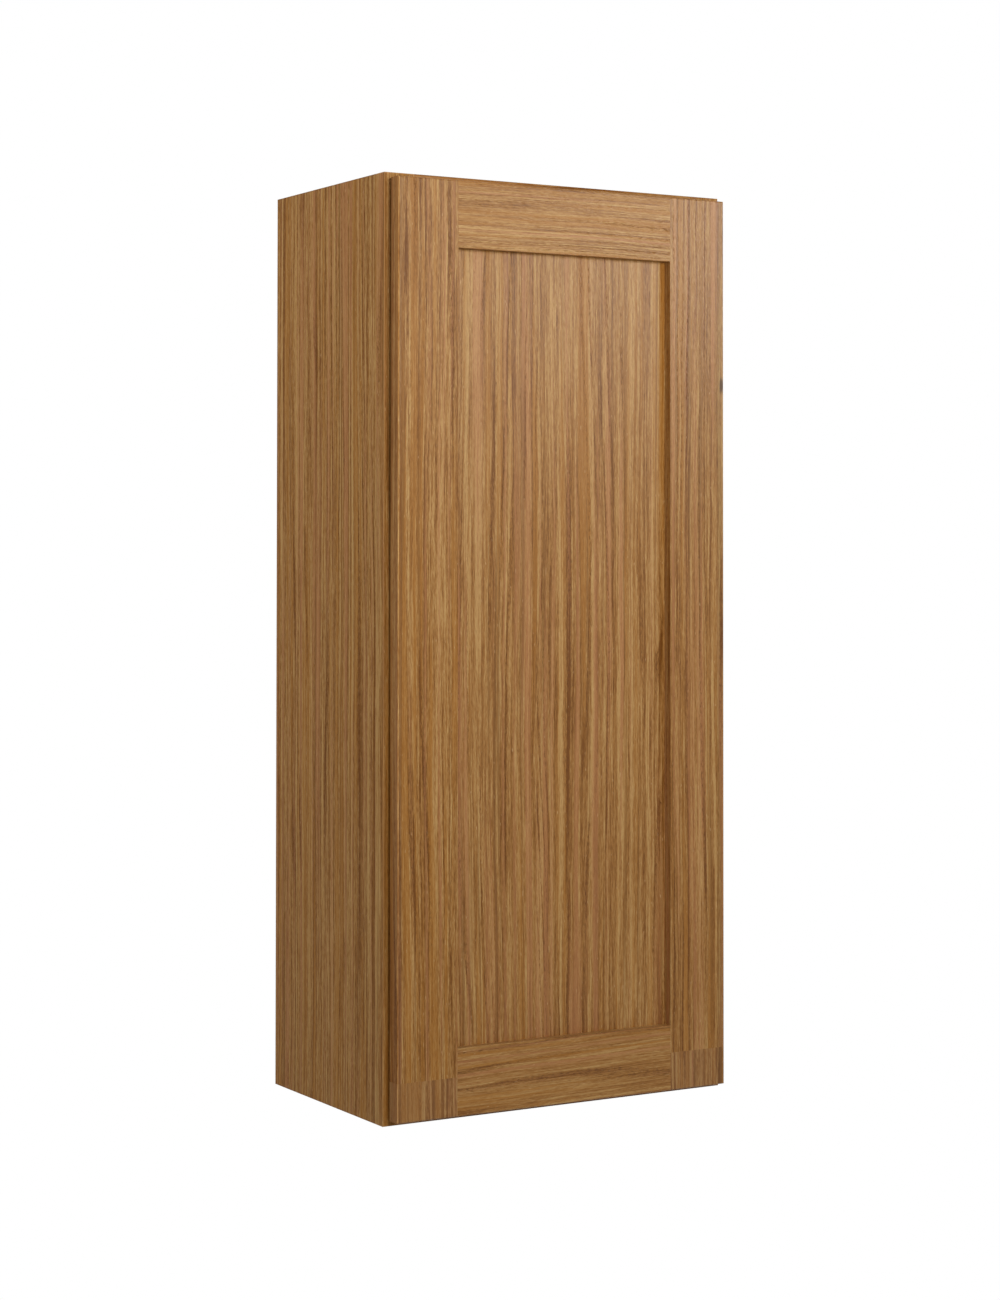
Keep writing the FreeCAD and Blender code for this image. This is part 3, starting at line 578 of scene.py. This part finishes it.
def screw(head_height, length):
    """One screw about the z axis: its head seats on the origin, and its shank points down."""
    shape = bmesh.new()
    quarter = ((RECESS_REACH, -RECESS_HALF_WIDTH), (RECESS_REACH, RECESS_HALF_WIDTH),
               (RECESS_HALF_WIDTH, RECESS_HALF_WIDTH))
    arms = [Vector((x, y, head_height)) for x, y in quarter]
    corners = [shape.verts.new(Matrix.Rotation(math.radians(90 * turn), 3, "Z") @ arm)
               for turn in range(4) for arm in arms]
    recess = [shape.edges.new(pair) for pair in zip(corners, corners[1:] + corners[:1])]
    flat = HEAD_RADIUS * DOME_FLAT
    disc = bmesh.ops.create_circle(shape, segments=ROUND_SEGMENTS, radius=flat)["verts"]
    bmesh.ops.translate(shape, vec=(0.0, 0.0, head_height), verts=disc)
    rim = [edge for edge in shape.edges if set(disc).issuperset(edge.verts)]
    bmesh.ops.triangle_fill(shape, use_beauty=True, edges=recess + rim)

    floor = grown(shape, recess, RECESS_TAPER, head_height * (1.0 - RECESS_DEPTH))
    bmesh.ops.contextual_create(shape, geom=floor)
    radius = flat
    outline = [(share * HEAD_RADIUS, level * head_height) for share, level in DOME]
    outline += [
        (SHANK_RADIUS, 0.0),
        (SHANK_RADIUS, TIP_LENGTH - length),
        (SHANK_RADIUS * TIP_SHARE, -length),
    ]
    for wide, height in outline:
        rim = grown(shape, rim, wide / radius, height)
        radius = wide
    bmesh.ops.contextual_create(shape, geom=rim)
    bmesh.ops.recalc_face_normals(shape, faces=shape.faces)
    mesh = bpy.data.meshes.new("screw")
    shape.to_mesh(mesh)
    shape.free()
    return mesh


def set_of_screws(label, node, body, master, facing, seats, material):
    """Stand copies of one screw on their seats, in place of a node of plain ones."""
    shape = bmesh.new()
    turn = facing.to_track_quat("Z", "Y").to_matrix().to_4x4()
    for seat in seats:
        before = set(shape.verts)
        shape.from_mesh(master)
        fresh = [corner for corner in shape.verts if corner not in before]
        bmesh.ops.transform(shape, matrix=Matrix.Translation(seat) @ turn, verts=fresh)
    mesh = bpy.data.meshes.new(label)
    shape.to_mesh(mesh)
    shape.free()
    mesh.polygons.foreach_set("use_smooth", [True] * len(mesh.polygons))
    mesh.set_sharp_from_angle(angle=math.radians(SHARP_ANGLE))
    mesh.materials.append(material)
    piece = bpy.data.objects.new(label, mesh)
    bpy.context.scene.collection.objects.link(piece)
    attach(piece, body)
    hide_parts(node)


def set_screws(material):
    plates, arms, cups = ([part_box(f"{level}_hinge_{piece}") for level in ("upper", "middle", "lower")]
                          for piece in ("plate", "arm", "cup"))
    row = (plates[0][0].y + plates[0][1].y) / 2
    cup_column = sum(corner.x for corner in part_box("hinge_cup_screws")) / 2

    def levels(boxes, step):
        return [(low.z + high.z) / 2 + side * step for low, high in boxes for side in (-1, 1)]

    inward = Vector((-1.0, 0.0, 0.0))
    backward = Vector((0.0, 1.0, 0.0))
    plate_seats = [Vector((plates[0][0].x, row, level)) for level in levels(plates, PLATE_SCREW_STEP)]
    arm_seats = [Vector((arms[0][0].x, row, (low.z + high.z) / 2)) for low, high in arms]
    cup_seats = [Vector((cup_column, cups[0][1].y, level)) for level in levels(cups, CUP_SCREW_STEP)]
    sets = (
        ("plate", "cabinet", screw(HEAD_HEIGHT, PLATE_SCREW_LENGTH), inward, plate_seats),
        ("arm", "cabinet", screw(HEAD_HEIGHT, ARM_SCREW_LENGTH), inward, arm_seats),
        ("cup", "door", screw(CUP_HEAD_HEIGHT, CUP_SCREW_LENGTH), backward, cup_seats),
    )
    for part, body, master, facing, seats in sets:
        set_of_screws(f"{part}_screws", f"hinge_{part}_screws", body, master, facing, seats, material)


# Scene

FLOOR_PALE = tint(240, 240, 238)


def set_view():
    lens = bpy.data.cameras.new("camera")
    lens.sensor_width = SENSOR_MM
    lens.lens = FOCAL_PIXELS * SENSOR_MM / PICTURE_HEIGHT
    lens.shift_x = (PICTURE_WIDTH / 2 - AXIS_PIXEL[0]) / PICTURE_HEIGHT
    lens.shift_y = (AXIS_PIXEL[1] - PICTURE_HEIGHT / 2) / PICTURE_HEIGHT
    camera = bpy.data.objects.new("camera", lens)
    camera.location = CAMERA_PLACE
    camera.rotation_euler = (math.radians(90 + CAMERA_PITCH), 0.0, -math.radians(CAMERA_YAW))
    scene = bpy.context.scene
    scene.collection.objects.link(camera)
    scene.camera = camera
    scene.view_settings.view_transform = "Standard"


def seen_directly(finish):
    """Give 1 to rays that show a background: those of the camera, of gloss and of glass."""
    rays = finish.node("ShaderNodeLightPath").socket.node.outputs
    kinds = ("Camera", "Glossy", "Transmission")
    camera, gloss, glass = (Signal(finish, rays[f"Is {kind} Ray"]) for kind in kinds)
    return camera.most(gloss).most(glass)


class Sky(Finish):
    """The world's node tree, with the same ways to add nodes."""

    def __init__(self, world):
        world.use_nodes = True
        self.tree = world.node_tree
        self.tree.nodes.clear()


def set_sky():
    world = bpy.data.worlds.new("studio")
    bpy.context.scene.world = world
    sky = Sky(world)
    strength = AMBIENT + (1.0 - AMBIENT) * seen_directly(sky)
    light = sky.node("ShaderNodeBackground", sockets={"Color": WHITE, "Strength": strength})
    output = sky.tree.nodes.new("ShaderNodeOutputWorld")
    sky.feed(output, {"Surface": light})


def set_floor():
    mesh = bpy.data.meshes.new("floor")
    shape = bmesh.new()
    bmesh.ops.create_circle(shape, cap_ends=True, segments=FLOOR_SEGMENTS, radius=FLOOR_RADIUS)
    bmesh.ops.translate(shape, verts=shape.verts, vec=(0.0, 0.0, CAD_BOX[0].z - FLOOR_DROP))
    shape.to_mesh(mesh)
    shape.free()
    floor = bpy.data.objects.new("floor", mesh)
    bpy.context.scene.collection.objects.link(floor)

    finish = Finish("pale_floor", Base_Color=FLOOR_PALE, Roughness=0.9, Specular_IOR_Level=0.0)
    x, y, _ = finish.split(finish.place())
    distance = (x * x + y * y).root()
    glow = FLOOR_GLOW + (1.0 - FLOOR_GLOW) * distance.eased(*FLOOR_GLOW_REACH)
    white = finish.node("ShaderNodeEmission", sockets={"Color": WHITE, "Strength": 1.0})
    share = seen_directly(finish) * glow
    blend = finish.node("ShaderNodeMixShader", sockets={
        0: share, 1: Signal(finish, finish.shader.outputs[0]), 2: white})
    finish.feed(finish.output, {"Surface": blend})
    mesh.materials.append(finish.material)


def set_lamps():
    for label, lamp in LAMPS.items():
        light = bpy.data.lights.new(label, "AREA")
        light.size = lamp["side"]
        light.energy = lamp["power"]
        light.color = SHEEN_TINT if label in GLOSS_ONLY else WHITE[:3]
        holder = bpy.data.objects.new(label, light)
        holder.location = lamp["place"]
        holder.visible_diffuse = label not in GLOSS_ONLY
        holder.visible_glossy = label not in MATT_ONLY
        aim = Vector(lamp["target"]) - Vector(lamp["place"])
        holder.rotation_euler = aim.to_track_quat("-Z", "Y").to_euler()
        bpy.context.scene.collection.objects.link(holder)


dress_oak()
screw_finish = dress_other_nodes()
set_screws(screw_finish)
set_view()
set_sky()
set_floor()
set_lamps()
